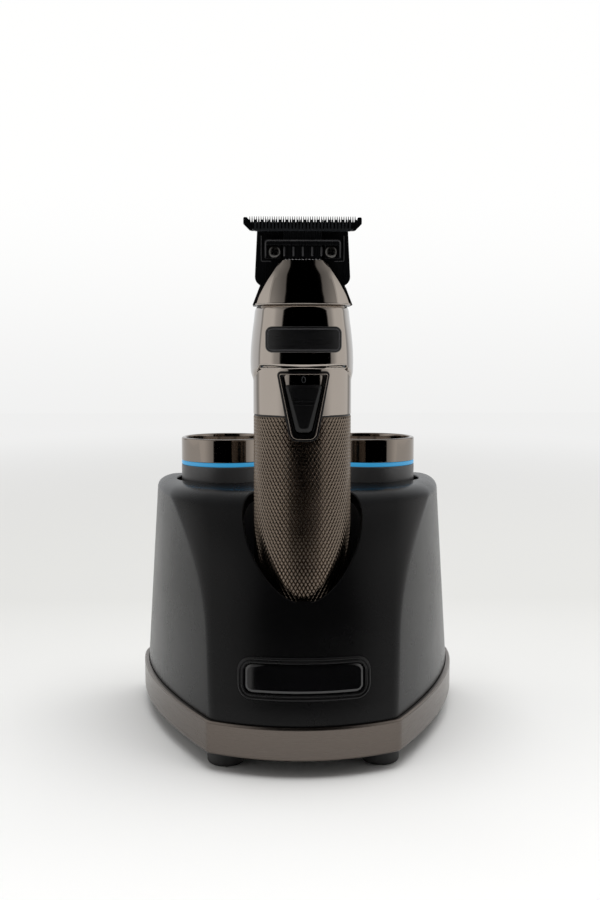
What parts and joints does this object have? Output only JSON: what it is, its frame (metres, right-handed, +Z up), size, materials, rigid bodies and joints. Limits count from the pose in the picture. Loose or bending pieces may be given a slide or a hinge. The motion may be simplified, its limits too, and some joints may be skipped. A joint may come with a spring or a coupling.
{
  "type": "hair clipper",
  "caption": "Cordless T-blade hair clipper with a knurled barrel, docked upright in a charging stand with a front cradle and two lit wells behind it.",
  "frame": {"origin": "on the table, at the bottom centre of the whole object's box: the middle of the base band's width and depth, at the height of the feet's undersides", "axes": "+Z up along the docked clipper, -Y out of the stand's badge and the clipper's switch, +X to the right seen from the front"},
  "size_m": [0.127, 0.118, 0.1888],
  "materials": {
    "soft_black": "soft-touch matte black moulded shell",
    "band_metal": "satin gunmetal plating",
    "gunmetal": "polished gunmetal plating",
    "knurl_metal": "knurled gunmetal, brownish",
    "black_plastic": "satin black moulded plastic",
    "gloss_black": "gloss black plastic",
    "black_steel": "black-coated blade steel, semi-gloss",
    "screw_steel": "plain steel",
    "screw_black": "blackened steel",
    "rubber_black": "black rubber",
    "collar_grey": "matte dark grey plastic",
    "light_blue": "lit blue diffuser",
    "contact_gold": "gold-plated contact",
    "board_green": "green circuit board",
    "ballast_steel": "plain steel weight",
    "led_white": "white flexible strip",
    "cell_wrap": "shrink-wrapped cell",
    "motor_steel": "drawn steel can",
    "acetal_white": "natural acetal"
  },
  "bodies": {
    "stand": {"stand_shell": "soft_black", "base_band": "band_metal", "bottom_plate": "black_plastic", "foot_front_left": "rubber_black", "foot_front_right": "rubber_black", "foot_rear_left": "rubber_black", "foot_rear_right": "rubber_black", "cradle_cup": "black_plastic", "cradle_board": "board_green", "cradle_contacts": "contact_gold", "badge_frame": "black_plastic", "badge_plate": "gloss_black", "inner_deck": "black_plastic", "ballast_plate": "ballast_steel", "dock_board": "board_green", "power_inlet": "black_plastic", "base_screws": "screw_steel", "well_rim_left": "gunmetal", "well_rim_right": "gunmetal", "light_ring_left": "light_blue", "light_ring_right": "light_blue", "well_collar_left": "collar_grey", "well_collar_right": "collar_grey", "well_cup_left": "black_plastic", "well_cup_right": "black_plastic", "led_strip_left": "led_white", "led_strip_right": "led_white", "well_contacts_left": "contact_gold", "well_contacts_right": "contact_gold"},
    "clipper": {"barrel_sleeve": "knurl_metal", "upper_housing": "gunmetal", "end_cap": "black_plastic", "end_contacts": "contact_gold", "chassis": "black_plastic", "battery_cell": "cell_wrap", "motor_can": "motor_steel", "motor_screws": "screw_steel", "circuit_board": "board_green", "micro_switch": "black_plastic", "switch_bezel": "gloss_black", "name_plate": "black_plastic", "head_frame": "black_plastic", "nose_cap": "gunmetal", "fixed_blade": "black_steel", "blade_guide": "black_steel", "blade_screws": "screw_black"},
    "cutter": {"moving_blade": "black_steel", "drive_yoke": "acetal_white"},
    "rotor": {"motor_shaft": "screw_steel", "eccentric": "acetal_white"},
    "slider": {"switch_slider": "black_plastic"}
  },
  "joints": [
    {"name": "clipper_lift", "type": "slide", "parent": "stand", "child": "clipper", "axis": [0, 0, 1], "range_m": [0, 0.15]},
    {"name": "cutter_stroke", "type": "slide", "parent": "clipper", "child": "cutter", "axis": [1, 0, 0], "range_m": [-0.0008, 0.0008]},
    {"name": "rotor_spin", "type": "hinge", "parent": "clipper", "child": "rotor", "pos_m": [0, -0.028, 0.14], "axis": [0, 0, 1], "continuous": true},
    {"name": "switch_slide", "type": "slide", "parent": "clipper", "child": "slider", "axis": [0, 0, 1], "range_m": [0, 0.0033]}
  ]
}
